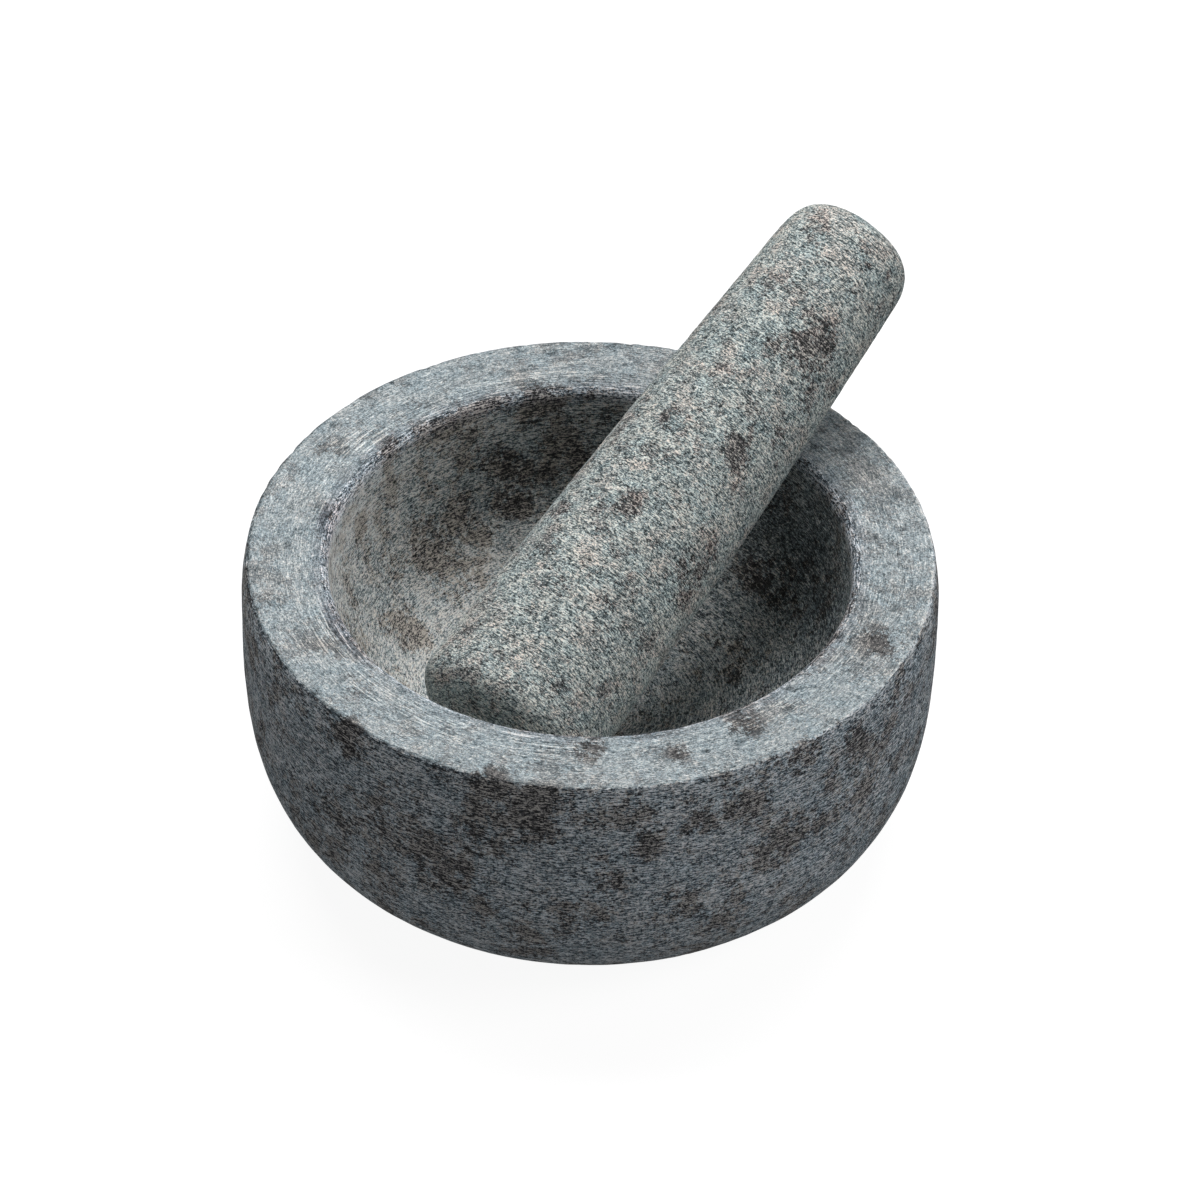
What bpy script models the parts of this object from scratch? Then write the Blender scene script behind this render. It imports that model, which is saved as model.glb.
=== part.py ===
"""Granite mortar with its loose pestle, in metres, +Z up.

The origin is the centre of the mortar's underside, on the axis that the mortar was turned about.
The pestle leans in the bowl: its lower end sits against the wall, and its shaft lies on the edge
of the bowl's mouth.
"""

from math import cos, hypot, pi, radians, sin

import bmesh
import bpy
from mathutils import Vector

# Mortar, outside
MORTAR_HEIGHT = 0.0665
WIDEST_RADIUS = 0.0750
WIDEST_HEIGHT = 0.0573
RIM_RADIUS = 0.0740
BASE_RADIUS = 0.0380
WALL_FULLNESS_OUT = 2.86     # superellipse power across the lower wall
WALL_FULLNESS_UP = 3.58      # superellipse power up the lower wall
RIM_OUTER_ROUND = 0.0008

# Mortar, bowl
MOUTH_RADIUS = 0.0562
BOWL_DEPTH = 0.0443
BOWL_FULLNESS = 2.4          # superellipse power: 2 is an ellipse, more is a flatter floor
RIM_INNER_ROUND = 0.0025

# Pestle, measured along its own axis from the tip of its lower end
PESTLE_LENGTH = 0.1460
PESTLE_TIP_RADIUS = 0.0212   # of the taper, carried on to the lower tip
PESTLE_TOP_RADIUS = 0.0146   # of the taper, carried on to the top
PESTLE_SWELL = 0.0007        # how far the shaft's middle stands proud of a straight taper
PESTLE_DOME_HEIGHT = 0.0105
PESTLE_DOME_FULLNESS = 2.0
PESTLE_CAP_HEIGHT = 0.0120
PESTLE_CAP_FULLNESS = 3.3

# How the pestle leans
PESTLE_HEADING = radians(52.7)    # direction that its top points in, about +Z from +X
PESTLE_LEAN = radians(24.1)       # of its axis, above the horizontal
PESTLE_SIDE_OFFSET = 0.0035       # how far its axis passes from the mortar's axis
EDGE_GAP = 0.0003                 # left open between the shaft and the mouth's edge
WALL_GAP = 0.0004                 # left open between the lower end and the bowl's wall

# Mesh fineness
MORTAR_SEGMENTS = 72
PESTLE_SEGMENTS = 48
BOWL_STEPS = 16
WALL_STEPS = 18
UPPER_WALL_STEPS = 4
RIM_INNER_STEPS = 7
RIM_OUTER_STEPS = 4
DOME_STEPS = 12
CAP_STEPS = 9
SHAFT_STEPS = 8

SHARP_ANGLE = radians(35)
PLACING_ROUNDS = 40

# Colours, linear
MORTAR_COLOUR = (0.17, 0.19, 0.20)
PESTLE_COLOUR = (0.24, 0.27, 0.27)


def remove_everything():
    for existing in list(bpy.data.objects):
        bpy.data.objects.remove(existing, do_unlink=True)


def fractions(steps):
    """Evenly spaced values from 0 to 1, both included."""
    return [step / steps for step in range(steps + 1)]


def superellipse(angle, power_across, power_up):
    """Point of a unit superellipse: (0, 1) at angle 0, and (1, 0) at a quarter turn."""
    across = max(sin(angle), 0.0) ** (2 / power_across)
    up = max(cos(angle), 0.0) ** (2 / power_up)
    return across, up


def bowl_profile():
    """Radius and height from the bowl's floor up its wall and round the mouth's edge."""
    edge_height = MORTAR_HEIGHT - RIM_INNER_ROUND
    points = []
    for part in fractions(BOWL_STEPS):
        across, down = superellipse(part * pi / 2, BOWL_FULLNESS, BOWL_FULLNESS)
        depth = (BOWL_DEPTH - RIM_INNER_ROUND) * down
        points.append((MOUTH_RADIUS * across, edge_height - depth))
    for part in fractions(RIM_INNER_STEPS)[1:]:
        angle = part * pi / 2
        radius = MOUTH_RADIUS + RIM_INNER_ROUND * (1 - cos(angle))
        points.append((radius, edge_height + RIM_INNER_ROUND * sin(angle)))
    return points


def outer_profile():
    """Radius and height from the rim's outer edge, down the wall, to the edge of the base."""
    edge_height = MORTAR_HEIGHT - RIM_OUTER_ROUND
    points = []
    for part in fractions(RIM_OUTER_STEPS):
        angle = part * pi / 2
        radius = RIM_RADIUS - RIM_OUTER_ROUND * (1 - sin(angle))
        points.append((radius, edge_height + RIM_OUTER_ROUND * cos(angle)))
    for part in fractions(UPPER_WALL_STEPS)[1:]:
        height = edge_height + (WIDEST_HEIGHT - edge_height) * part
        drawn_in = (WIDEST_RADIUS - RIM_RADIUS) * (1 - part) ** 2
        points.append((WIDEST_RADIUS - drawn_in, height))
    for part in reversed(fractions(WALL_STEPS)[:-1]):
        across, down = superellipse(part * pi / 2, WALL_FULLNESS_OUT, WALL_FULLNESS_UP)
        radius = BASE_RADIUS + (WIDEST_RADIUS - BASE_RADIUS) * across
        points.append((radius, WIDEST_HEIGHT * (1 - down)))
    return points


def pestle_radius(along):
    """Radius of the pestle's taper at a distance along its axis, before its ends are rounded."""
    share = along / PESTLE_LENGTH
    taper = PESTLE_TIP_RADIUS + (PESTLE_TOP_RADIUS - PESTLE_TIP_RADIUS) * share
    return taper + PESTLE_SWELL * 4 * share * (1 - share)


def pestle_profile():
    """Radius and distance along the axis, from the top down to the lower tip."""
    points = []
    for part in fractions(CAP_STEPS):
        across, up = superellipse(part * pi / 2, PESTLE_CAP_FULLNESS, PESTLE_CAP_FULLNESS)
        along = PESTLE_LENGTH - PESTLE_CAP_HEIGHT * (1 - up)
        points.append((pestle_radius(along) * across, along))
    shaft_top = PESTLE_LENGTH - PESTLE_CAP_HEIGHT
    for part in fractions(SHAFT_STEPS)[1:-1]:
        along = shaft_top + (PESTLE_DOME_HEIGHT - shaft_top) * part
        points.append((pestle_radius(along), along))
    for part in reversed(fractions(DOME_STEPS)):
        across, down = superellipse(part * pi / 2, PESTLE_DOME_FULLNESS, PESTLE_DOME_FULLNESS)
        along = PESTLE_DOME_HEIGHT * (1 - down)
        points.append((pestle_radius(along) * across, along))
    return points


def turned_solid(name, profile, segments):
    """Closed solid turned about local Z from (radius, height) points, inner or upper end first."""
    mesh = bpy.data.meshes.new(name)
    shape = bmesh.new()
    corners = [shape.verts.new((radius, 0.0, height)) for radius, height in profile]
    for first, second in zip(corners, corners[1:]):
        shape.edges.new((first, second))
    bmesh.ops.spin(
        shape,
        geom=shape.verts[:] + shape.edges[:],
        axis=(0.0, 0.0, 1.0),
        cent=(0.0, 0.0, 0.0),
        angle=2 * pi,
        steps=segments,
        use_merge=True,
    )
    bmesh.ops.remove_doubles(shape, verts=shape.verts[:], dist=1e-7)
    bmesh.ops.recalc_face_normals(shape, faces=shape.faces[:])
    shape.to_mesh(mesh)
    shape.free()
    mesh.shade_smooth()
    mesh.set_sharp_from_angle(angle=SHARP_ANGLE)
    solid = bpy.data.objects.new(name, mesh)
    bpy.context.scene.collection.objects.link(solid)
    return solid


def stone(name, colour, roughness):
    """Unpolished granite."""
    material = bpy.data.materials.new(name)
    material.use_nodes = True
    shader = material.node_tree.nodes["Principled BSDF"]
    shader.inputs["Base Color"].default_value = (*colour, 1.0)
    shader.inputs["Roughness"].default_value = roughness
    shader.inputs["Metallic"].default_value = 0.0
    material.diffuse_color = (*colour, 1.0)
    return material


def pestle_outline_when_leaning(tip):
    """Both sides of the pestle's outline in the upright plane it leans in: (across, height)."""
    points = []
    for radius, along in pestle_profile():
        for side in (-radius, radius):
            across = tip[0] + along * cos(PESTLE_LEAN) - side * sin(PESTLE_LEAN)
            height = tip[1] + along * sin(PESTLE_LEAN) + side * cos(PESTLE_LEAN)
            points.append((across, height))
    return points


def tip_with_shaft_on_edge(along):
    """Tip in the plane of the lean, when the mouth's edge meets the shaft this far along it."""
    edge_across = (MOUTH_RADIUS + RIM_INNER_ROUND) ** 2 - PESTLE_SIDE_OFFSET**2
    edge = (edge_across**0.5, MORTAR_HEIGHT - RIM_INNER_ROUND)
    reach = pestle_radius(along) + RIM_INNER_ROUND + EDGE_GAP
    across = edge[0] - reach * sin(PESTLE_LEAN) - along * cos(PESTLE_LEAN)
    height = edge[1] + reach * cos(PESTLE_LEAN) - along * sin(PESTLE_LEAN)
    return across, height


def room_to_wall(across, height):
    """Distance to the bowl's wall along the ray from the mouth's centre, negative if beyond it."""
    radius = hypot(across, PESTLE_SIDE_OFFSET)
    depth = MORTAR_HEIGHT - RIM_INNER_ROUND - height
    full_depth = BOWL_DEPTH - RIM_INNER_ROUND
    powers = (radius / MOUTH_RADIUS) ** BOWL_FULLNESS + (depth / full_depth) ** BOWL_FULLNESS
    return hypot(radius, depth) * (powers ** (-1 / BOWL_FULLNESS) - 1)


def lowest_tip():
    """Slide the pestle down over the mouth's edge until its lower end meets the bowl's wall."""
    edge_height = MORTAR_HEIGHT - RIM_INNER_ROUND
    clear, blocked = 0.5 * PESTLE_LENGTH, 0.9 * PESTLE_LENGTH
    for _ in range(PLACING_ROUNDS):
        along = (clear + blocked) / 2
        outline = pestle_outline_when_leaning(tip_with_shaft_on_edge(along))
        in_bowl = [point for point in outline if point[0] < 0 and point[1] < edge_height]
        if min(room_to_wall(*point) for point in in_bowl) > WALL_GAP:
            clear = along
        else:
            blocked = along
    return tip_with_shaft_on_edge(clear)


def make_mortar():
    profile = bowl_profile() + outer_profile() + [(0.0, 0.0)]
    mortar = turned_solid("mortar", profile, MORTAR_SEGMENTS)
    mortar.data.materials.append(stone("mortar_granite", MORTAR_COLOUR, 0.85))
    return mortar


def make_pestle():
    """The pestle's origin is its lower tip, which is on the line that it's lifted along."""
    pestle = turned_solid("pestle", pestle_profile(), PESTLE_SEGMENTS)
    pestle.data.materials.append(stone("pestle_granite", PESTLE_COLOUR, 0.80))
    across, height = lowest_tip()
    forward = Vector((cos(PESTLE_HEADING), sin(PESTLE_HEADING), 0.0))
    rightward = Vector((sin(PESTLE_HEADING), -cos(PESTLE_HEADING), 0.0))
    pestle.location = forward * across + rightward * PESTLE_SIDE_OFFSET
    pestle.location.z = height
    pestle.rotation_euler = (0.0, pi / 2 - PESTLE_LEAN, PESTLE_HEADING)
    return pestle


remove_everything()
make_mortar()
make_pestle()
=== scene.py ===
"""Looks of a granite mortar and its loose pestle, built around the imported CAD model.

Metres, +Z up. Each piece is turned again from its CAD profile, finely enough to hold the marks of
the lathe, pits, chips and wear, and gets a granite that is mixed from procedural nodes.
"""

from math import ceil, cos, log2, pi, radians, sin, tau
from random import Random

import bmesh
import bpy
import numpy as np
from mathutils import Matrix, Vector, kdtree, noise


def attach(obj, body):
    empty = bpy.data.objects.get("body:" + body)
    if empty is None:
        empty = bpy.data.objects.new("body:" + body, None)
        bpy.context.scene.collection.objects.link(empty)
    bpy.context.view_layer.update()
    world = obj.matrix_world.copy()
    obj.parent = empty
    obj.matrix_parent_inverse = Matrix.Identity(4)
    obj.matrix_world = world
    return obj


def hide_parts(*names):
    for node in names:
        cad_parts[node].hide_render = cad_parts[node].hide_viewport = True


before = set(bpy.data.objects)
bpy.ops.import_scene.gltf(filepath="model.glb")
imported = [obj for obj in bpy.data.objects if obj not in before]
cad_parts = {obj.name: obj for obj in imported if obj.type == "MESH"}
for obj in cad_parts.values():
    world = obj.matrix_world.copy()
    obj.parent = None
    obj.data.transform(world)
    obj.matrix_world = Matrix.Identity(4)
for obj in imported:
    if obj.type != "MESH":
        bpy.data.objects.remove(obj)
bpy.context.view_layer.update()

MM = 0.001

# Reading the CAD profiles
WELD_DISTANCE = 1e-6
POLE_RADIUS = 1e-5
SAME_HEADING = cos(radians(1))

# Mesh fineness: how far apart the rings of a surface are
FINE = 0.50 * MM             # rim, mouth's edge and pestle
MIDDLE = 0.80 * MM           # bowl and outer wall
COARSE = 2.40 * MM           # underside
CELL_STRETCH = 1.5           # a cell's length round the axis, against its ring spacing
ROUND_STEPS = 2              # fewest rings in one step of a CAD profile
FEWEST_SEGMENTS = 10
LEVEL_ENOUGH = 0.1 * MM      # below the top, and still part of the flat rim
UPRIGHT = 0.99               # a turned piece whose axis is at least this steep stands upright

# How much longer the lathe's marks are along the turning direction than across it
LATHE_STRETCH = 3.2
SCRATCH_STRETCH = (0.4, 0.4, 1.0)        # of fine scratches, on top of that
LONG_MARK_STRETCH = (0.12, 0.12, 1.0)    # of the marks that run on for centimetres

# Worked surface. A layer of relief is (height in mm, size of its lumps in mm, seed of its noise).
NOISE_SHIFT = Vector((17.3, 5.9, 11.1))  # from one seed's noise to the next
MORTAR_LAYERS = ((0.10, 24, 1), (0.05, 7, 2), (0.05, 3.0, 3))
MORTAR_GROOVES = ((0.05, 2.2, 4),)
RIM_LAYERS = ((0.03, 1.6, 12),)          # added to the mortar's, on the rim
RIM_GROOVES = ((0.03, 1.2, 5),)
WEAR_LAYERS = ((0.25, 5, 6),)            # taken away just inside the mouth
GROOVES_LOST_IN_BOWL = 0.4               # share of the grooves' height
MORTAR_GROOVE_DRIFT = 0.4 * MM           # how far the grooves' noise is crossed in a turn
PESTLE_LAYERS = ((0.09, 16, 7), (0.04, 5, 8), (0.05, 1.5, 9))
PESTLE_GROOVES = ((0.05, 1.1, 10), (0.03, 2.7, 11))
PESTLE_GROOVE_DRIFT = 0.5 * MM

# Chips out of the rim's outer edge, and pits in the stone: how many, and the sizes in mm
CHIP_COUNT = 90
CHIP_LENGTHS = (0.8, 3.2)
CHIP_WIDTHS = (0.5, 1.1)
CHIP_DEPTHS = (0.08, 0.26)
MORTAR_PIT_COUNT = 420
MORTAR_PIT_LENGTHS = (0.7, 1.9)
MORTAR_PIT_DEPTHS = (0.08, 0.26)
PESTLE_PIT_COUNT = 260
PESTLE_PIT_LENGTHS = (0.6, 1.5)
PESTLE_PIT_DEPTHS = (0.08, 0.24)
PIT_WIDTHS = (0.5, 1.0)                  # shares of a pit's length
PIT_FREE_HEIGHT = 5 * MM                 # of the mortar's foot
FULL_DEPTH = 0.2 * MM                    # of a chip or a pit that is coloured fully as one
MORTAR_SEED, PESTLE_SEED = 11, 29        # of places and sizes
MORTAR_NOISE_SEED, PESTLE_NOISE_SEED = 3, 5    # of directions

# Parts of the mortar, in mm outwards from where its flat rim starts, unless said otherwise
BOWL_ENDS = (-5.5, -2.0)
LIP, LIP_SOFT = (-12, -3), 2             # the worn band just inside the mouth; its paleness is partly painted light
LOWER_LIP, LOWER_LIP_SOFT, LOWER_LIP_STRENGTH = (-19, -14), 5, 0.5     # fainter wear below it
EDGE, EDGE_SOFT = (-2.6, 1.2), 1.2       # the mouth's edge
RIM_SOFT = 0.4
BRIM_WIDTH, BRIM_SOFT = 1.0, 0.5         # of the rim's outer edge
ON_BRIM = 0.9                            # a vertex that belongs this much to the brim can chip
FINE_DEPTH = 3.2 * MM                    # below the top
COARSE_DEPTH = 62 * MM                   # below the top
RELIEF_STARTS = (0.14 * MM, 0.84 * MM)   # above the base: relief fades in between these heights
LEFT_SIDE = (0.75, 0.98)                 # minus the cosine of the angle: where it starts, is full
WEAR_ALL_ROUND = 0.3                     # of the wear at the left, which also carries the worn band's painted light

# Camera: angles in radians, and the lens in mm
CAMERA_ELEVATION = 0.7131
CAMERA_ROLL = 0.01705
CAMERA_DISTANCE = 1.619
CAMERA_LENS = 225.4
CAMERA_SENSOR_WIDTH = 36
CAMERA_AIM = Vector((0.002165, 0.0, 0.05436))

# Studio. A softbox is azimuth about +Z from +X and elevation, in degrees, then its width and
# height, and the light that it gives a surface facing it, over pi.
SOFTBOXES = {
    "key_behind": (94, 65, 1.25, 0.65, 1.45),
    "fill_right": (-12, 34, 0.6, 0.6, 0.46),
    "low_left": (138, 16, 0.6, 0.5, 0.07),
    "low_front": (250, 14, 1.6, 0.5, 0.17),
}
SOFTBOX_DISTANCE = 1.2
WORLD_LIGHT = 0.06
FLOOR_REACH = 4.0
FLOOR_GREY, FLOOR_GLOW = (0.15, 0.15, 0.15), 0.92              # as the camera sees the floor
FLOOR_GREY_TO_OBJECT, FLOOR_GLOW_TO_OBJECT = (0.03, 0.03, 0.03), 0.17


# ---------------------------------------------------------------- turned shapes


class Turned:
    """A turned CAD node: a point on its axis, its axis, and its profile from the upper pole.

    Angles about the axis start from +X on an upright piece, and from the top of a leaning one.
    """

    def __init__(self, node):
        shape = bmesh.new()
        shape.from_mesh(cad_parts[node].data)
        bmesh.ops.remove_doubles(shape, verts=shape.verts[:], dist=WELD_DISTANCE)
        self.find_axis(np.array([vert.co for vert in shape.verts]))
        self.profile = self.read_profile(shape)
        shape.free()

    def find_axis(self, points):
        """The axis is the direction in which the points' spread differs from the other two."""
        centre = points.mean(axis=0)
        spreads, directions = np.linalg.eigh(np.cov((points - centre).T))
        odd_one = 0 if spreads[1] - spreads[0] > spreads[2] - spreads[1] else 2
        axis = Vector(directions[:, odd_one])
        self.axis = axis if axis.z > 0 else -axis
        self.centre = Vector(centre)
        start = Vector((1, 0, 0)) if self.axis.z > UPRIGHT else Vector((0, 0, 1))
        self.across = (start - self.axis * start.dot(self.axis)).normalized()
        self.up = self.axis.cross(self.across)

    def split(self, point):
        """Distance along the axis, and the vector that leads from the axis to the point."""
        along = (point - self.centre).dot(self.axis)
        return along, point - self.centre - self.axis * along

    def read_profile(self, shape):
        """Walk one meridian, from the upper pole, as (radius, distance along the axis)."""
        poles = [vert for vert in shape.verts if self.split(vert.co)[1].length < POLE_RADIUS]
        here = max(poles, key=lambda vert: self.split(vert.co)[0])
        heading = self.split(here.link_edges[0].other_vert(here).co)[1].normalized()
        path = [here]
        while here:
            neighbours = [edge.other_vert(here) for edge in here.link_edges]
            ahead = [vert for vert in neighbours if vert not in path and self.on(heading, vert)]
            here = ahead[0] if ahead else None
            path.extend(ahead[:1])
        profile = [(self.split(vert.co)[1].length, self.split(vert.co)[0]) for vert in path]
        if profile[-1][0] > POLE_RADIUS:
            profile.append((0.0, profile[-1][1]))
        return np.array(profile)

    def on(self, heading, vert):
        outward = self.split(vert.co)[1]
        return outward.length < POLE_RADIUS or outward.normalized().dot(heading) > SAME_HEADING

    def point(self, radius, along, angle):
        outward = self.across * cos(angle) + self.up * sin(angle)
        return self.centre + self.axis * along + outward * radius


def smooth_profile(profile, step_at):
    """The profile as a smooth curve, with points about step_at(radius, along) apart."""
    chords = np.empty_like(profile)
    chords[1:-1] = profile[2:] - profile[:-2]
    chords[0] = (1.0, 0.0)
    chords[-1] = (-1.0, 0.0)
    tangents = chords / np.linalg.norm(chords, axis=1)[:, None]
    points = []
    for index in range(len(profile) - 1):
        start, end = profile[index], profile[index + 1]
        length = np.linalg.norm(end - start)
        steps = max(ROUND_STEPS, ceil(length / step_at(*((start + end) / 2))))
        for t in np.arange(steps) / steps:
            placed = start * (1 + 2 * t) * (1 - t) ** 2 + end * t**2 * (3 - 2 * t)
            turned = tangents[index] * t * (1 - t) ** 2 - tangents[index + 1] * t**2 * (1 - t)
            points.append(placed + turned * length)
    points.append(profile[-1])
    return np.array(points)


def segment_counts(profile, step_at):
    """Segments of each ring: doubled as the ring grows, and never by more than two at a time."""
    counts = []
    for radius, along in profile:
        wanted = tau * radius / step_at(radius, along) / CELL_STRETCH / FEWEST_SEGMENTS
        doublings = round(log2(wanted)) if wanted > 1 else 0
        counts.append(FEWEST_SEGMENTS * 2**doublings)
    for order in (range(1, len(counts)), range(len(counts) - 2, -1, -1)):
        for index in order:
            before = index - 1 if order.step > 0 else index + 1
            counts[index] = min(counts[index], 2 * counts[before])
    return counts


def faces_between(inner, outer):
    """Faces between two rings of vertex numbers. One ring may have half of the other's."""
    faces = []
    for index in range(min(len(inner), len(outer))):
        following = index + 1
        if len(inner) == len(outer):
            ahead = following % len(inner)
            faces.append((inner[index], outer[index], outer[ahead], inner[ahead]))
            continue
        fine, few = (outer, inner) if len(outer) > len(inner) else (inner, outer)
        first, last = few[index], few[following % len(few)]
        near, middle, far = fine[2 * index], fine[2 * index + 1], fine[2 * following % len(fine)]
        trio = [(first, near, middle), (first, middle, last), (last, middle, far)]
        faces.extend(trio if fine is outer else [face[::-1] for face in trio])
    return faces


def turn_mesh(name, turned, step_at):
    """Closed mesh turned from a CAD profile, and each vertex's profile point and angle."""
    profile = smooth_profile(turned.profile, step_at)
    lengths = np.linalg.norm(np.diff(profile, axis=0), axis=1)
    travelled = np.concatenate([[0.0], np.cumsum(lengths)])
    counts = segment_counts(profile, step_at)
    counts[0] = counts[-1] = 1
    points, places, rings = [], [], []
    for (radius, along), distance, count in zip(profile, travelled, counts):
        rings.append(range(len(points), len(points) + count))
        for step in range(count):
            angle = tau * step / count
            points.append(turned.point(radius, along, angle))
            places.append((radius, along, distance, angle))
    faces = []
    for inner, outer in zip(rings, rings[1:]):
        if len(inner) == 1:
            faces += [(inner[0], a, b) for a, b in zip(outer, [*outer[1:], outer[0]])]
        elif len(outer) == 1:
            faces += [(a, outer[0], b) for a, b in zip(inner, [*inner[1:], inner[0]])]
        else:
            faces += faces_between(inner, outer)
    mesh = bpy.data.meshes.new(name)
    mesh.from_pydata(points, [], faces)
    mesh.shade_smooth()
    return mesh, np.array(places)


def ramp_between(values, low, high):
    """0 below low and 1 above high, smooth between."""
    share = np.clip((values - low) / (high - low), 0.0, 1.0)
    return share * share * (3 - 2 * share)


def band(values, low, high, soft):
    """1 between low and high, fading to 0 within soft outside them."""
    return ramp_between(values, low - soft, low) * (1 - ramp_between(values, high, high + soft))


def lumps(points, size, seed):
    """Smooth noise between about -1 and 1, whose lumps are about this size."""
    return np.array([noise.noise(Vector(point) / size + NOISE_SHIFT * seed) for point in points])


def relief_of(points, layers):
    """Height that layers of noise give each point."""
    return sum(height * MM * lumps(points, size * MM, seed) for height, size, seed in layers)


def groove_coordinates(places, drift):
    """Coordinates in which noise makes grooves that run round the piece."""
    distance, angle = places[:, 2], places[:, 3]
    return np.stack([distance, drift * np.cos(angle), drift * np.sin(angle)], axis=1)


def bite(points, depth, tree, centre, direction, length, width, deepest):
    """Sink an oval hollow into depth, long in one direction."""
    for _, index, _ in tree.find_range(centre, length):
        offset = Vector(points[index]) - centre
        lengthwise = offset.dot(direction)
        crosswise = (offset - direction * lengthwise).length
        reach = (lengthwise / length) ** 2 + (crosswise / width) ** 2
        if reach < 1:
            depth[index] = min(depth[index], -deepest * (1 - reach) ** 1.5)


def make_pits(points, tree, draw, open_points, count, lengths, depths):
    """Oval hollows at random places, as how deep each vertex sinks."""
    pits = np.zeros(len(points))
    for _ in range(count):
        centre = Vector(points[draw.choice(open_points)])
        direction = noise.random_unit_vector()
        length = draw.uniform(*lengths) * MM
        width = length * draw.uniform(*PIT_WIDTHS)
        deepest = draw.uniform(*depths) * MM
        bite(points, pits, tree, centre, direction, length, width, deepest)
    return pits


def patches(places, along, listed):
    """How far inside one of the listed round patches each vertex is, from 0 at a patch's edge.

    A patch is (degrees about the axis, mm along the surface, radius in mm, strength)."""
    radius, angle = places[:, 0], places[:, 3]
    field = np.zeros(len(places))
    for degrees_round, place, size, strength in listed:
        turn = (angle - radians(degrees_round) + pi) % tau - pi
        reach = np.hypot(turn * radius, along - place * MM) / (size * MM)
        field = np.maximum(field, strength * (1 - reach**2))
    return field


def tree_of(points):
    tree = kdtree.KDTree(len(points))
    for index, point in enumerate(points):
        tree.insert(point, index)
    tree.balance()
    return tree


def read_vectors(items, attribute, width=3):
    flat = np.empty(len(items) * width, np.float32)
    items.foreach_get(attribute, flat)
    return flat.reshape(-1, width).astype(float)


def push_along_normals(mesh, points, distances):
    normals = read_vectors(mesh.vertex_normals, "vector")
    moved = points + normals * distances[:, None]
    mesh.vertices.foreach_set("co", moved.astype(np.float32).ravel())
    mesh.update()


def store(mesh, name, values):
    """Keep one value, or one vector, for each vertex, for the material to read."""
    kind = "FLOAT" if values.ndim == 1 else "FLOAT_VECTOR"
    field = "value" if values.ndim == 1 else "vector"
    attribute = mesh.attributes.new(name, kind, "POINT")
    attribute.data.foreach_set(field, values.astype(np.float32).ravel())


def stretched_coordinates(places):
    """Pattern coordinates that are squeezed the way round, so that a pattern is drawn out there."""
    radius, distance, angle = places[:, 0] / LATHE_STRETCH, places[:, 2], places[:, 3]
    return np.stack([radius * np.cos(angle), radius * np.sin(angle), distance], axis=1)


# ---------------------------------------------------------------- mortar


# The mortar's main dark stains, by distance outwards from where the flat rim starts
MORTAR_STAINS = (
    # on the rim
    (271, 3, 5.5, 1.0), (287, 7, 3.5, 0.7), (302, 4, 6, 0.7), (337, 9, 7, 0.7), (221, 8, 7, 0.4),
    (209, 6, 6, 0.3), (194, 13, 5, 0.4), (150, 10, 6, 0.4), (127, 7, 5, 0.3),
    # on the outer wall
    (254, 16, 5, 1.0), (228, 19, 7, 0.9), (261, 25, 8, 0.9), (252, 32, 7, 0.8), (247, 45, 8, 0.9),
    (222, 43, 7, 0.8), (264, 20, 7, 0.7), (280, 32, 4.5, 1.2), (288, 27, 5, 0.8), (296, 25, 5, 0.8),
    (301, 40, 9, 0.6), (309, 40, 6, 0.8), (308, 19, 6, 0.8), (319, 23, 7, 1.0), (274, 42, 7, 0.6),
    # in the bowl
    (109, -28, 4, 1.3), (125, -3, 4, 1.1), (139, -2, 4, 0.9), (155, -13, 4, 1.0), (112, -18, 8, 0.7),
    (103, -4, 8, 0.9), (137, -29, 7, 0.7), (163, -38, 7, 0.8), (13, -50, 6, 0.8), (36, -31, 8, 0.8),
)


def mortar_zones(places, top):
    """How much each vertex belongs to the bowl, the lip, the mouth's edge, the rim and its outer
    edge, and its distance outwards from where the flat rim starts, in mm."""
    height, distance = places[:, 1], places[:, 2]
    flat = distance[height > top - LEVEL_ENOUGH]
    from_lip = (distance - flat.min()) / MM
    width = (flat.max() - flat.min()) / MM
    lower_lip = LOWER_LIP_STRENGTH * band(from_lip, *LOWER_LIP, LOWER_LIP_SOFT)
    return {
        "bowl": 1 - ramp_between(from_lip, *BOWL_ENDS),
        "lip": band(from_lip, *LIP, LIP_SOFT) + lower_lip,
        "edge": band(from_lip, *EDGE, EDGE_SOFT),
        "rim": band(from_lip, 0, width, RIM_SOFT),
        "brim": band(from_lip, width, width + BRIM_WIDTH, BRIM_SOFT),
        "from_lip": from_lip,
    }


def mortar_step(top):
    """How far apart the mortar's rings are: closest on the rim and its edges."""

    def step_at(radius, along):
        if along > top - FINE_DEPTH:
            return FINE
        return COARSE if along < top - COARSE_DEPTH else MIDDLE

    return step_at


def rim_chips(points, tree, draw, top_points, turned):
    """Chips out of the rim's outer edge, long the way round, as how deep each vertex sinks."""
    chips = np.zeros(len(points))
    for _ in range(CHIP_COUNT):
        centre = Vector(points[draw.choice(top_points)])
        onward = turned.axis.cross(turned.split(centre)[1].normalized())
        length, width, deepest = (
            draw.uniform(*sizes) * MM for sizes in (CHIP_LENGTHS, CHIP_WIDTHS, CHIP_DEPTHS)
        )
        bite(points, chips, tree, centre, onward, length, width, deepest)
    return chips


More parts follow.
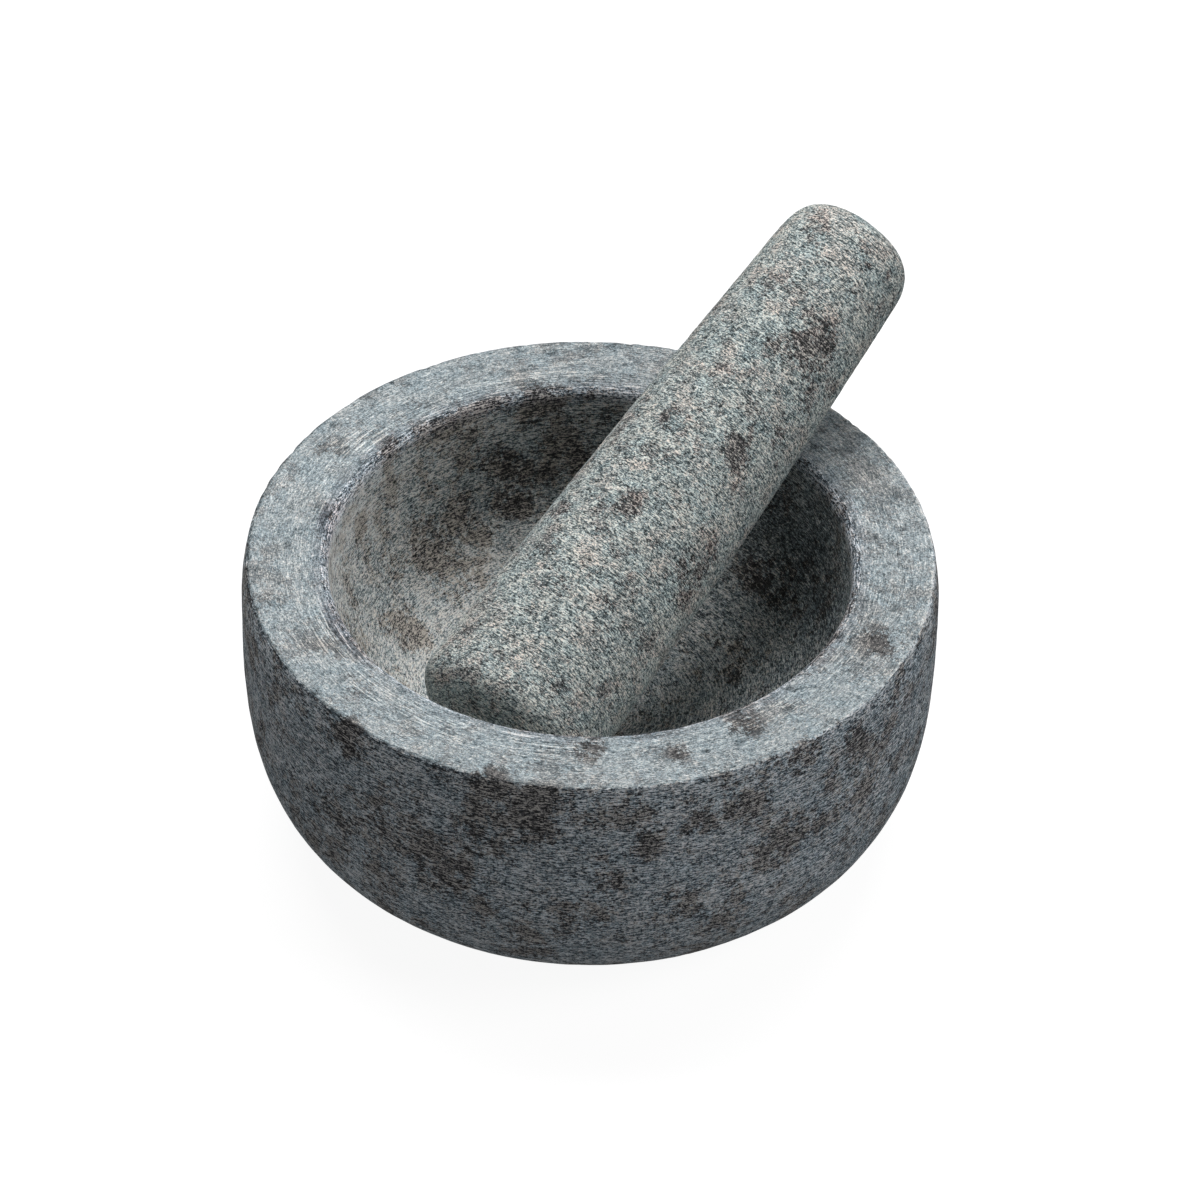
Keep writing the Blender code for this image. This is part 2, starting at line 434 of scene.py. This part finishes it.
def mortar_relief(points, places, zones, turned):
    """Height of the worked surface above the plain turned one, and its chips and its pits."""
    draw = Random(MORTAR_SEED)
    tree = tree_of(points)
    rings = groove_coordinates(places, MORTAR_GROOVE_DRIFT)
    worked = relief_of(points, MORTAR_LAYERS) + zones["rim"] * relief_of(points, RIM_LAYERS)
    grooves = relief_of(rings, MORTAR_GROOVES) + zones["rim"] * relief_of(rings, RIM_GROOVES)
    wear = zones["lip"] * relief_of(points, WEAR_LAYERS).clip(0)
    relief = worked + grooves * (1 - GROOVES_LOST_IN_BOWL * zones["bowl"]) - wear
    chips = rim_chips(points, tree, draw, np.flatnonzero(zones["brim"] > ON_BRIM), turned)
    foot = places[:, 1].min()
    open_points = np.flatnonzero(places[:, 1] > foot + PIT_FREE_HEIGHT)
    pits = make_pits(
        points, tree, draw, open_points, MORTAR_PIT_COUNT, MORTAR_PIT_LENGTHS, MORTAR_PIT_DEPTHS
    )
    return relief + chips + pits, chips, pits


def store_mortar_marks(mesh, places, zones):
    """Keep what the granite has to know about each place on the mortar."""
    toward_right = np.cos(places[:, 3])
    left = ramp_between(-toward_right, *LEFT_SIDE)
    # Wear, and the worn band's painted light with it, is strongest at the left.
    wear = WEAR_ALL_ROUND + (1 - WEAR_ALL_ROUND) * left
    for zone in ("bowl", "rim", "brim", "from_lip"):
        store(mesh, zone, zones[zone])
    store(mesh, "turned", stretched_coordinates(places))
    store(mesh, "stained", patches(places, zones["from_lip"] * MM, MORTAR_STAINS))
    store(mesh, "worn_and_painted_light_band", zones["lip"] * wear)
    store(mesh, "rolled", zones["edge"] * wear)
    store(mesh, "rightward", places[:, 0] * toward_right / places[:, 0].max())


def make_mortar():
    turned = Turned("mortar")
    heights = turned.profile[:, 1]
    mesh, places = turn_mesh("mortar_stone", turned, mortar_step(heights.max()))
    points = read_vectors(mesh.vertices, "co")
    zones = mortar_zones(places, heights.max())
    noise.seed_set(MORTAR_NOISE_SEED)
    relief, chips, pits = mortar_relief(points, places, zones, turned)
    above_base = ramp_between(places[:, 1] - heights.min(), *RELIEF_STARTS)
    push_along_normals(mesh, points, relief * above_base)
    store_mortar_marks(mesh, places, zones)
    store(mesh, "broken", np.clip(-chips / FULL_DEPTH, 0, 1))
    store(mesh, "pits", np.clip(-pits / FULL_DEPTH, 0, 1))
    mesh.materials.append(mortar_granite())
    add_piece(mesh, "mortar")


def add_piece(mesh, node):
    """Show a mesh in place of the CAD node of this name, riding on the body of the same name."""
    piece = bpy.data.objects.new(mesh.name, mesh)
    bpy.context.scene.collection.objects.link(piece)
    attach(piece, node)
    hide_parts(node)


# ---------------------------------------------------------------- pestle


# The pestle's main brown stains and pink patches, by distance from its lower tip
PESTLE_STAINS = (
    (51, 113, 7, 1.0), (31, 106, 4.5, 0.9), (59, 107, 5, 0.8), (35, 117, 3.5, 0.9), (88, 110, 4, 0.7),
    (66, 92, 4, 0.6), (62, 136, 5, 0.5), (349, 80, 5, 0.8), (48, 83, 7, 0.7), (10, 58, 4.5, 0.7),
    (66, 58, 9, 0.9), (81, 50, 6, 0.8), (34, 55, 3, 0.7), (38, 37, 3, 1.2), (328, 52, 3.5, 0.9),
)
PESTLE_BLUSHES = ((20, 141, 8, 1.0), (32, 136, 6, 0.8), (6, 44, 6, 0.7), (16, 61, 5, 0.8))


def make_pestle():
    turned = Turned("pestle")
    mesh, places = turn_mesh("pestle_stone", turned, lambda radius, along: FINE)
    points = read_vectors(mesh.vertices, "co")
    noise.seed_set(PESTLE_NOISE_SEED)
    grooves = relief_of(groove_coordinates(places, PESTLE_GROOVE_DRIFT), PESTLE_GROOVES)
    pits = make_pits(
        points, tree_of(points), Random(PESTLE_SEED), range(len(points)),
        PESTLE_PIT_COUNT, PESTLE_PIT_LENGTHS, PESTLE_PIT_DEPTHS,
    )
    push_along_normals(mesh, points, relief_of(points, PESTLE_LAYERS) + grooves + pits)
    from_tip = places[:, 1] - places[:, 1].min()
    store(mesh, "turned", stretched_coordinates(places))
    store(mesh, "pits", np.clip(-pits / FULL_DEPTH, 0, 1))
    store(mesh, "stained", patches(places, from_tip, PESTLE_STAINS))
    store(mesh, "blush", patches(places, from_tip, PESTLE_BLUSHES))
    mesh.materials.append(pestle_granite())
    add_piece(mesh, "pestle")


# ---------------------------------------------------------------- granite


class Mixer:
    """Short calls that add and join shader nodes, each returning the new node's output."""

    def __init__(self, name):
        self.material = bpy.data.materials.new(name)
        self.material.use_nodes = True
        self.tree = self.material.node_tree
        self.shader = self.tree.nodes["Principled BSDF"]

    def node(self, kind, **settings):
        made = self.tree.nodes.new("ShaderNode" + kind)
        for setting, value in settings.items():
            setattr(made, setting, value)
        return made

    def put(self, socket, value):
        if isinstance(value, bpy.types.NodeSocket):
            self.tree.links.new(value, socket)
        else:
            socket.default_value = value

    def math(self, operation, *values, clamp=False):
        made = self.node("Math", operation=operation, use_clamp=clamp)
        for socket, value in zip(made.inputs, values):
            self.put(socket, value)
        return made.outputs[0]

    def total(self, *values):
        result = values[0]
        for value in values[1:]:
            result = self.math("ADD", result, value)
        return result

    def times(self, *values):
        result = values[0]
        for value in values[1:]:
            result = self.math("MULTIPLY", result, value)
        return result

    def fade(self, value, low, high, start=0.0, end=1.0):
        """Smooth step of value from start at low to end at high."""
        made = self.node("MapRange", interpolation_type="SMOOTHSTEP")
        for name, given in (("From Min", low), ("From Max", high), ("To Min", start), ("To Max", end)):
            self.put(made.inputs[name], given)
        self.put(made.inputs["Value"], value)
        return made.outputs["Result"]

    def kept(self, name, output="Fac"):
        return self.node("Attribute", attribute_name=name).outputs[output]

    def scaled(self, vector, factors):
        made = self.node("VectorMath", operation="MULTIPLY")
        self.put(made.inputs[0], vector)
        made.inputs[1].default_value = factors
        return made.outputs[0]

    def moved(self, vector, other, amount):
        """The vector, moved by another centred on 0.5, times an amount."""
        made = self.node("VectorMath", operation="MULTIPLY_ADD")
        self.put(made.inputs[0], other)
        made.inputs[1].default_value = (amount,) * 3
        self.put(made.inputs[2], vector)
        return made.outputs[0]

    def noise(self, vector, size, detail=2.0, roughness=0.5, distortion=0.0, output="Fac"):
        """Noise around 0.5 whose coarsest lumps are about this size, in metres."""
        made = self.node("TexNoise")
        self.put(made.inputs["Vector"], vector)
        made.inputs["Scale"].default_value = 1 / size
        made.inputs["Detail"].default_value = detail
        made.inputs["Roughness"].default_value = roughness
        made.inputs["Distortion"].default_value = distortion
        return made.outputs[output]

    def crystals(self, vector, size):
        """Two even random numbers for each cell of this size, in metres."""
        made = self.node("TexVoronoi")
        self.put(made.inputs["Vector"], vector)
        made.inputs["Scale"].default_value = 1 / size
        split = self.node("SeparateColor")
        self.put(split.inputs[0], made.outputs["Color"])
        return split.outputs[0], split.outputs[1]

    def centred(self, value, amount):
        """A value around 0.5, turned into one around 0 and scaled."""
        return self.math("MULTIPLY", self.math("SUBTRACT", value, 0.5), amount)

    def mix(self, share, first, second, blend="MIX"):
        made = self.node("Mix", data_type="RGBA", blend_type=blend)
        self.put(made.inputs["Factor"], share)
        for socket, value in ((made.inputs[6], first), (made.inputs[7], second)):
            self.put(socket, (*value, 1.0) if isinstance(value, tuple) else value)
        return made.outputs[2]


def ramp_of(mixer, value, colours):
    """Colour at a value from 0 to 1, from evenly spaced colours."""
    made = mixer.node("ValToRGB")
    elements = made.color_ramp.elements
    while len(elements) < len(colours):
        elements.new(0.5)
    for index, (element, colour) in enumerate(zip(elements, colours)):
        element.position = index / (len(colours) - 1)
        element.color = (*colour, 1.0)
    mixer.put(made.inputs[0], value)
    return made.outputs[0]


PLAIN_MINERALS = (
    (0.022, 0.030, 0.034),
    (0.103, 0.130, 0.142),
    (0.232, 0.275, 0.292),
    (0.405, 0.452, 0.465),
    (0.720, 0.740, 0.730),
)
BROWN_MINERALS = (
    (0.012, 0.012, 0.012),
    (0.035, 0.035, 0.037),
    (0.077, 0.077, 0.079),
    (0.190, 0.184, 0.180),
    (0.500, 0.470, 0.430),
)


# Patterns that both pieces share. The amounts say how much each adds.
WOBBLE_SIZE = 0.4 * MM
DASH_WOBBLE, GRAIN_WOBBLE, FLAKE_WOBBLE = 0.05 * MM, 0.1 * MM, 0.4 * MM
PALE_SCRATCHES = (0.72, 0.92)        # of even random numbers: where a scratch starts and is full
DARK_SCRATCHES = (0.80, 0.95)
DARK_SCRATCH_DEPTH = -0.6
CALM_GRAIN, CALM_COARSE = 0.66, 0.55
GRAIN_WARMTH, DASH_WARMTH, CLOUD_WARMTH = 0.7, 0.5, 1.6
GRAIN_HEIGHT, DASH_HEIGHT, STREAK_HEIGHT, FLAKE_HEIGHT = 0.5, 0.5, 1.2, 0.3
CLOUD_PULL, GRAIN_PULL = 0.5, 0.12   # on where the mottles are
STAIN_PULL = 0.17
STAIN_STRENGTH = 0.8
STAIN_SHADE = -0.13
BROWN_LEVEL, BROWN_CONTRAST = 0.48, 1.2
# Pits are painted darker, as painted shade in their hollows.
PIT_PAINTED_SHADE = -0.25
ROUGHNESS_ENDS = (0.2, 0.9)          # minerals that have the look's first and second roughness


def scratches(mixer, turned, size):
    """Fine scratches drawn out along the turning direction: pale above 0, and dark below it."""
    pale, dark = mixer.crystals(mixer.scaled(turned, SCRATCH_STRETCH), size)
    dark_ones = mixer.fade(dark, *DARK_SCRATCHES, 0.0, DARK_SCRATCH_DEPTH)
    return mixer.total(mixer.fade(pale, *PALE_SCRATCHES), dark_ones)


def mottles(mixer, place, look, additions):
    """Ragged patches, from 0 to 1. The additions help to decide where they are."""
    ragged = mixer.noise(place, look["mottle_size"], detail=5, roughness=0.68, distortion=0.3)
    start = look["mottle_from"]
    return mixer.fade(mixer.total(ragged, *additions), start, start + look["mottle_soft"])


def granite(mixer, look, calm=0.0, drag=1.0):
    """Plain stone's grains, streaks and clouds, and its brown mottles. Where calm is 1, the grains
    and clouds are weaker. Drag is how strongly the lathe has streaked the stone."""
    place = mixer.node("TexCoord").outputs["Object"]
    turned = mixer.kept("turned", "Vector")
    wobble = mixer.noise(place, WOBBLE_SIZE, detail=1, output="Color")
    dash, dash_warmth = mixer.crystals(mixer.moved(turned, wobble, DASH_WOBBLE), look["dash_size"])
    grain, warmth = mixer.crystals(mixer.moved(place, wobble, GRAIN_WOBBLE), look["grain_size"])
    flake, flake_warmth = mixer.crystals(mixer.moved(place, wobble, FLAKE_WOBBLE), look["flake_size"])
    streak = mixer.noise(turned, look["streak_size"], detail=3, roughness=0.65)
    clouds = [mixer.noise(place, size, detail=1.5) for size in look["cloud_sizes"]]
    coarse = mixer.total(
        mixer.centred(flake, look["flake"]),
        *[mixer.centred(cloud, amount) for cloud, amount in zip(clouds, look["clouds"])],
    )
    drawn_out = mixer.total(
        mixer.centred(dash, look["dash"]),
        mixer.centred(streak, look["streak"]),
        mixer.times(scratches(mixer, turned, look["scratch_size"]), look["scratch"]),
    )
    mineral = mixer.total(
        look["level"],
        mixer.times(drawn_out, drag),
        mixer.times(mixer.centred(grain, look["grain"]), mixer.fade(calm, 0.0, 1.0, 1.0, CALM_GRAIN)),
        mixer.times(coarse, mixer.fade(calm, 0.0, 1.0, 1.0, CALM_COARSE)),
        mixer.times(mixer.kept("pits"), PIT_PAINTED_SHADE),
    )
    warmer = mixer.total(
        mixer.centred(warmth, GRAIN_WARMTH),
        mixer.centred(dash_warmth, DASH_WARMTH),
        mixer.centred(clouds[1], CLOUD_WARMTH),
    )
    stained = mixer.kept("stained")
    additions = (
        mixer.centred(clouds[2], CLOUD_PULL),
        mixer.centred(flake_warmth, GRAIN_PULL),
        mixer.centred(warmth, GRAIN_PULL),
        mixer.times(stained, STAIN_PULL),
    )
    ridges = mixer.total(mixer.centred(dash, DASH_HEIGHT), mixer.centred(streak, STREAK_HEIGHT))
    height = mixer.total(
        mixer.times(ridges, drag),
        mixer.centred(grain, GRAIN_HEIGHT),
        mixer.centred(flake, FLAKE_HEIGHT),
    )
    return {
        "place": place,
        "turned": turned,
        "mineral": mineral,
        "warm": mixer.math("ADD", warmer, 0.5, clamp=True),
        "mottled": mottles(mixer, place, look, additions),
        "height": height,
        "clouds": clouds,
        "stained": stained,
    }


def mineral_colour(mixer, stone, mineral, mottle_strength, look):
    """Colour of stone whose minerals run from 0, the darkest, to 1. Stains soak in and darken it."""
    plain = ramp_of(mixer, mineral, PLAIN_MINERALS)
    plain = mixer.mix(1.0, plain, mixer.mix(stone["warm"], look["cool"], look["warm"]), "MULTIPLY")
    soaked = mixer.times(stone["stained"], STAIN_SHADE)
    browned = mixer.total(BROWN_LEVEL, mixer.centred(mineral, BROWN_CONTRAST), soaked)
    brown = ramp_of(mixer, browned, BROWN_MINERALS)
    stains = mixer.times(stone["stained"], STAIN_STRENGTH)
    strength = mixer.math("ADD", mottle_strength, stains, clamp=True)
    return mixer.mix(mixer.times(stone["mottled"], strength), plain, brown)


def finish_granite(mixer, colour, mineral, height, look):
    mixer.put(mixer.shader.inputs["Base Color"], colour)
    rough = mixer.fade(mineral, *ROUGHNESS_ENDS, *look["roughness"])
    mixer.put(mixer.shader.inputs["Roughness"], rough)
    mixer.shader.inputs["Specular IOR Level"].default_value = look["specular"]
    bump = mixer.node("Bump")
    bump.inputs["Strength"].default_value = 1.0
    bump.inputs["Distance"].default_value = look["bump"]
    mixer.put(bump.inputs["Height"], height)
    mixer.put(mixer.shader.inputs["Normal"], bump.outputs[0])
    return mixer.material


MORTAR_LOOK = {
    "dash_size": 0.20 * MM,
    "grain_size": 0.27 * MM,
    "flake_size": 0.80 * MM,
    "streak_size": 0.48 * MM,
    "scratch_size": 0.20 * MM,
    "cloud_sizes": (1.9 * MM, 5 * MM, 17 * MM),
    "dash": 1.00,
    "grain": 0.65,
    "flake": 0.20,
    "streak": 0.80,
    "scratch": 0.50,
    "clouds": (0.35, 0.30, 0.25),
    "level": 0.47,
    "cool": (0.94, 1.0, 1.05),
    "warm": (1.07, 1.0, 0.98),
    "mottle_size": 6.5 * MM,
    "mottle_from": 0.485,
    "mottle_soft": 0.13,
    "roughness": (0.95, 0.75),
    "specular": 0.35,
    "bump": 0.17 * MM,
}

PESTLE_LOOK = {
    **MORTAR_LOOK,
    "level": 0.497,
    "dash": 0.80,
    "grain": 0.70,
    "flake": 0.16,
    "streak": 0.55,
    "scratch": 0.27,
    "clouds": (0.36, 0.25, 0.18),
    "cool": (0.905, 1.0, 0.99),
    "warm": (1.10, 1.01, 0.92),
    "mottle_from": 0.535,
    "bump": 0.18 * MM,
}


# How much paler (above 0) or darker the mortar's parts are than its plain stone. The second number
# of a pair is added for each radius of the mortar to the right of its axis, as painted light and
# shade: the rim and the bowl darken to the right, and the brim pales to the right.
# The rim is paler partly for its ground surface and partly as painted light; its drop to the right is
# painted shade.
RIM_SHADE = (0.055, -0.02)
# Painted shade: the whole bowl is darker, and far darker to the right, where less light reaches it.
BOWL_PAINTED_SHADE = (-0.055, -0.31)
# Painted light and shade on the rim's outer edge: darker at the back and left, and a pale lit line to
# the right.
BRIM_PAINTED_LIGHT_AND_SHADE = (-0.08, 0.24)
# The worn band's paleness is partly scuffed stone and partly painted light.
WORN_AND_PAINTED_LIGHT, ROLLED_SHADE, BROKEN_SHADE, BOWL_FLOOR_PAINTED_LIGHT = 0.31, -0.23, 0.22, 0.21
# The outer wall is painted darker at the far right, as painted shade.
WALL_SHADE, FAR_RIGHT_PAINTED_SHADE = 0.05, -0.06
FAR_RIGHT = (0.5, 0.95)              # radii to the right: where the wall's painted shade starts and is full
FLOOR_FROM = (-20.0, -42.0)          # mm from the lip: where the bowl floor's painted light starts and is full

# How much the lathe's streaks gain on each part
RIM_DRAG, BOWL_DRAG, WORN_DRAG = -0.68, -0.25, 0.35

# Long marks of the lathe, and the pale arcs among them. Each fades in from its first place to its
# second, in mm from the lip, or fades off to the right of the axis, in radii of the mortar.
LONG_MARK_SIZE = 0.40 * MM
LONG_MARK_CONTRAST, LONG_MARK_HEIGHT = 1.5, 2.0
MARKS_ABOVE, MARKS_WITHIN = (-17.0, -6.0), (13.0, 4.0)
MARKS_TO_RIGHT, MARKS_AT_RIGHT = (0.2, 0.8), 0.6
RINGS_BELOW, RINGS_ABOVE, RING_STRENGTH = (-48.0, -51.0), (-60.0, -55.0), 0.8
ARC_NOISE = (0.57, 0.70)
ARCS_TO_RIGHT, ARC_SHADE = (-0.2, 0.6), 0.30
PATCHY_NOISE, LEAST_PATCHY = (0.38, 0.56), 0.35

# Speckles of the worn band inside the mouth, which is painted paler partly as painted light, and how
# much of a mottle shows there and elsewhere
SPECKLE_SIZE, SPECKLE_CONTRAST = 1.3 * MM, 3.0
RIM_MOTTLES, WORN_MOTTLES, PESTLE_MOTTLES = 0.52, 0.7, 0.8

# Pink patches on the pestle
PINK_SIZE, PINK_NOISE, PINK_STRENGTH = 6 * MM, (0.50, 0.62), 0.8
BLUSH_PULL = 0.15

BOWL_TINT = (1.015, 1.0, 0.975)
WALL_TINT = (0.975, 1.0, 1.045)
OTHER_TINT = (1.01, 1.0, 0.985)
ROLLED_TINT = (1.07, 0.985, 1.02)
PINK_TINT = (1.11, 0.99, 0.96)


def sloping(mixer, shade, rightward):
    """A shade that changes evenly to the right, as painted light and shade."""
    return mixer.total(shade[0], mixer.times(rightward, shade[1]))


def marked_places(mixer, from_lip, rightward, patchy):
    """Where the lathe's long marks show: near the mouth's edge, and in rings on the bowl's floor."""
    near_mouth = mixer.times(
        mixer.fade(from_lip, *MARKS_ABOVE),
        mixer.fade(from_lip, *MARKS_WITHIN),
        mixer.fade(rightward, *MARKS_TO_RIGHT, 1.0, MARKS_AT_RIGHT),
    )
    rings = mixer.times(mixer.fade(from_lip, *RINGS_BELOW), mixer.fade(from_lip, *RINGS_ABOVE))
    return mixer.total(mixer.times(near_mouth, patchy), mixer.times(rings, RING_STRENGTH))


def mortar_granite():
    mixer = Mixer("mortar_granite")
    look = MORTAR_LOOK
    names = ("bowl", "rim", "brim", "worn_and_painted_light_band", "from_lip", "rightward")
    bowl, rim, brim, worn_and_painted_light_band, from_lip, rightward = (mixer.kept(name) for name in names)
    wall = mixer.math("SUBTRACT", mixer.math("SUBTRACT", 1.0, bowl), rim, clamp=True)
    drag = mixer.total(
        1.0, mixer.times(rim, RIM_DRAG), mixer.times(bowl, BOWL_DRAG), mixer.times(worn_and_painted_light_band, WORN_DRAG)
    )
    stone = granite(mixer, look, calm=rim, drag=drag)

    drawn_out = mixer.scaled(stone["turned"], LONG_MARK_STRETCH)
    long_marks = mixer.noise(drawn_out, LONG_MARK_SIZE, detail=2, roughness=0.75)
    patchy = mixer.fade(stone["clouds"][2], *PATCHY_NOISE, LEAST_PATCHY, 1.0)
    marked = marked_places(mixer, from_lip, rightward, patchy)
    rolled = mixer.times(mixer.kept("rolled"), patchy)
    arc_strength = mixer.fade(rightward, *ARCS_TO_RIGHT, ARC_SHADE, 0.0)
    bright_arcs = mixer.times(mixer.fade(long_marks, *ARC_NOISE), arc_strength)
    marks = mixer.total(mixer.centred(long_marks, LONG_MARK_CONTRAST), bright_arcs)
    # The worn band is painted paler in speckles: partly its scuffed stone, partly painted light.
    speckle = mixer.noise(stone["place"], SPECKLE_SIZE, detail=4, roughness=0.75)
    speckled = mixer.total(WORN_AND_PAINTED_LIGHT, mixer.centred(speckle, SPECKLE_CONTRAST))
    mineral = mixer.total(
        stone["mineral"],
        mixer.times(marks, marked),
        mixer.times(worn_and_painted_light_band, speckled),
        mixer.times(rolled, ROLLED_SHADE),
        # The shades of the rim, the bowl and the brim slope to the right as painted light and shade.
        mixer.times(rim, sloping(mixer, RIM_SHADE, rightward)),
        mixer.times(bowl, sloping(mixer, BOWL_PAINTED_SHADE, rightward)),
        mixer.times(brim, sloping(mixer, BRIM_PAINTED_LIGHT_AND_SHADE, rightward)),
        # Painted shade: the outer wall darkens at the far right.
        mixer.times(wall, mixer.fade(rightward, *FAR_RIGHT, WALL_SHADE, FAR_RIGHT_PAINTED_SHADE)),
        # Painted light: the bowl is paler deeper down, on its floor.
        mixer.fade(from_lip, *FLOOR_FROM, 0.0, BOWL_FLOOR_PAINTED_LIGHT),
        mixer.times(mixer.kept("broken"), BROKEN_SHADE),
    )

    mottle_strength = mixer.times(
        mixer.fade(rim, 0.0, 1.0, 1.0, RIM_MOTTLES), mixer.fade(worn_and_painted_light_band, 0.0, 1.0, 1.0, WORN_MOTTLES)
    )
    colour = mineral_colour(mixer, stone, mineral, mottle_strength, look)
    deep = mixer.math("SUBTRACT", bowl, worn_and_painted_light_band, clamp=True)
    colour = mixer.mix(deep, colour, mixer.mix(1.0, colour, BOWL_TINT, "MULTIPLY"))
    tint = mixer.mix(rolled, mixer.mix(wall, OTHER_TINT, WALL_TINT), ROLLED_TINT)
    colour = mixer.mix(1.0, colour, tint, "MULTIPLY")
    mark_height = mixer.times(mixer.centred(long_marks, LONG_MARK_HEIGHT), marked)
    return finish_granite(mixer, colour, mineral, mixer.total(stone["height"], mark_height), look)


def pestle_granite():
    mixer = Mixer("pestle_granite")
    look = PESTLE_LOOK
    stone = granite(mixer, look)
    colour = mineral_colour(mixer, stone, stone["mineral"], PESTLE_MOTTLES, look)
    pink_clouds = mixer.noise(stone["place"], PINK_SIZE, detail=3, roughness=0.6)
    blush = mixer.times(mixer.kept("blush"), BLUSH_PULL)
    pinkish = mixer.fade(mixer.total(pink_clouds, blush), *PINK_NOISE, 0.0, PINK_STRENGTH)
    colour = mixer.mix(pinkish, colour, mixer.mix(1.0, colour, PINK_TINT, "MULTIPLY"))
    return finish_granite(mixer, colour, stone["mineral"], stone["height"], look)


# ---------------------------------------------------------------- studio


def make_floor():
    """Pale floor that glows a little, so that shadows on it stay light, and lights the object less."""
    mesh = bpy.data.meshes.new("floor")
    signs = ((-1, -1), (1, -1), (1, 1), (-1, 1))
    mesh.from_pydata([(FLOOR_REACH * x, FLOOR_REACH * y, 0) for x, y in signs], [], [(0, 1, 2, 3)])
    floor = bpy.data.objects.new("floor", mesh)
    bpy.context.scene.collection.objects.link(floor)
    mixer = Mixer("floor_paper")
    seen = mixer.node("LightPath").outputs["Is Camera Ray"]
    grey = mixer.mix(seen, FLOOR_GREY_TO_OBJECT, FLOOR_GREY)
    glow = mixer.fade(seen, 0.0, 1.0, FLOOR_GLOW_TO_OBJECT, FLOOR_GLOW)
    mixer.put(mixer.shader.inputs["Base Color"], grey)
    mixer.put(mixer.shader.inputs["Emission Color"], (1.0, 1.0, 1.0, 1.0))
    mixer.put(mixer.shader.inputs["Emission Strength"], glow)
    mixer.shader.inputs["Roughness"].default_value = 1.0
    mixer.shader.inputs["Specular IOR Level"].default_value = 0.0
    mesh.materials.append(mixer.material)


def direction_from(azimuth, elevation):
    """Unit vector towards an azimuth about +Z from +X, and an elevation, in degrees."""
    around, rise = radians(azimuth), radians(elevation)
    return Vector((cos(around) * cos(rise), sin(around) * cos(rise), sin(rise)))


def add_softbox(name, azimuth, elevation, width, height, irradiance):
    """Softbox aimed at the bowl."""
    lamp = bpy.data.lights.new(name, "AREA")
    lamp.shape = "RECTANGLE"
    lamp.size = width
    lamp.size_y = height
    lamp.energy = irradiance * pi * pi * SOFTBOX_DISTANCE**2
    softbox = bpy.data.objects.new(name, lamp)
    bpy.context.scene.collection.objects.link(softbox)
    toward = direction_from(azimuth, elevation)
    softbox.location = CAMERA_AIM + toward * SOFTBOX_DISTANCE
    softbox.rotation_euler = toward.to_track_quat("Z", "Y").to_euler()


def light_the_studio():
    world = bpy.data.worlds.new("studio")
    world.use_nodes = True
    background = world.node_tree.nodes["Background"]
    background.inputs["Color"].default_value = (1.0, 1.0, 1.0, 1.0)
    background.inputs["Strength"].default_value = WORLD_LIGHT
    bpy.context.scene.world = world
    for name, placing in SOFTBOXES.items():
        add_softbox(name, *placing)


def make_camera():
    data = bpy.data.cameras.new("camera")
    data.lens = CAMERA_LENS
    data.sensor_width = CAMERA_SENSOR_WIDTH
    camera = bpy.data.objects.new("camera", data)
    bpy.context.scene.collection.objects.link(camera)
    forward = Vector((0, cos(CAMERA_ELEVATION), -sin(CAMERA_ELEVATION)))
    level_up = Vector((0, sin(CAMERA_ELEVATION), cos(CAMERA_ELEVATION)))
    level_right = Vector((1, 0, 0))
    right = cos(CAMERA_ROLL) * level_right + sin(CAMERA_ROLL) * level_up
    up = cos(CAMERA_ROLL) * level_up - sin(CAMERA_ROLL) * level_right
    turn = Matrix((right, up, -forward)).transposed().to_4x4()
    camera.matrix_world = Matrix.Translation(CAMERA_AIM - CAMERA_DISTANCE * forward) @ turn
    bpy.context.scene.camera = camera


make_mortar()
make_pestle()
make_floor()
light_the_studio()
make_camera()
bpy.context.scene.view_settings.view_transform = "Standard"

# The denoiser would smear the finest grains if it smoothed the colours that guide it.
bpy.context.scene.cycles.denoising_prefilter = "NONE"
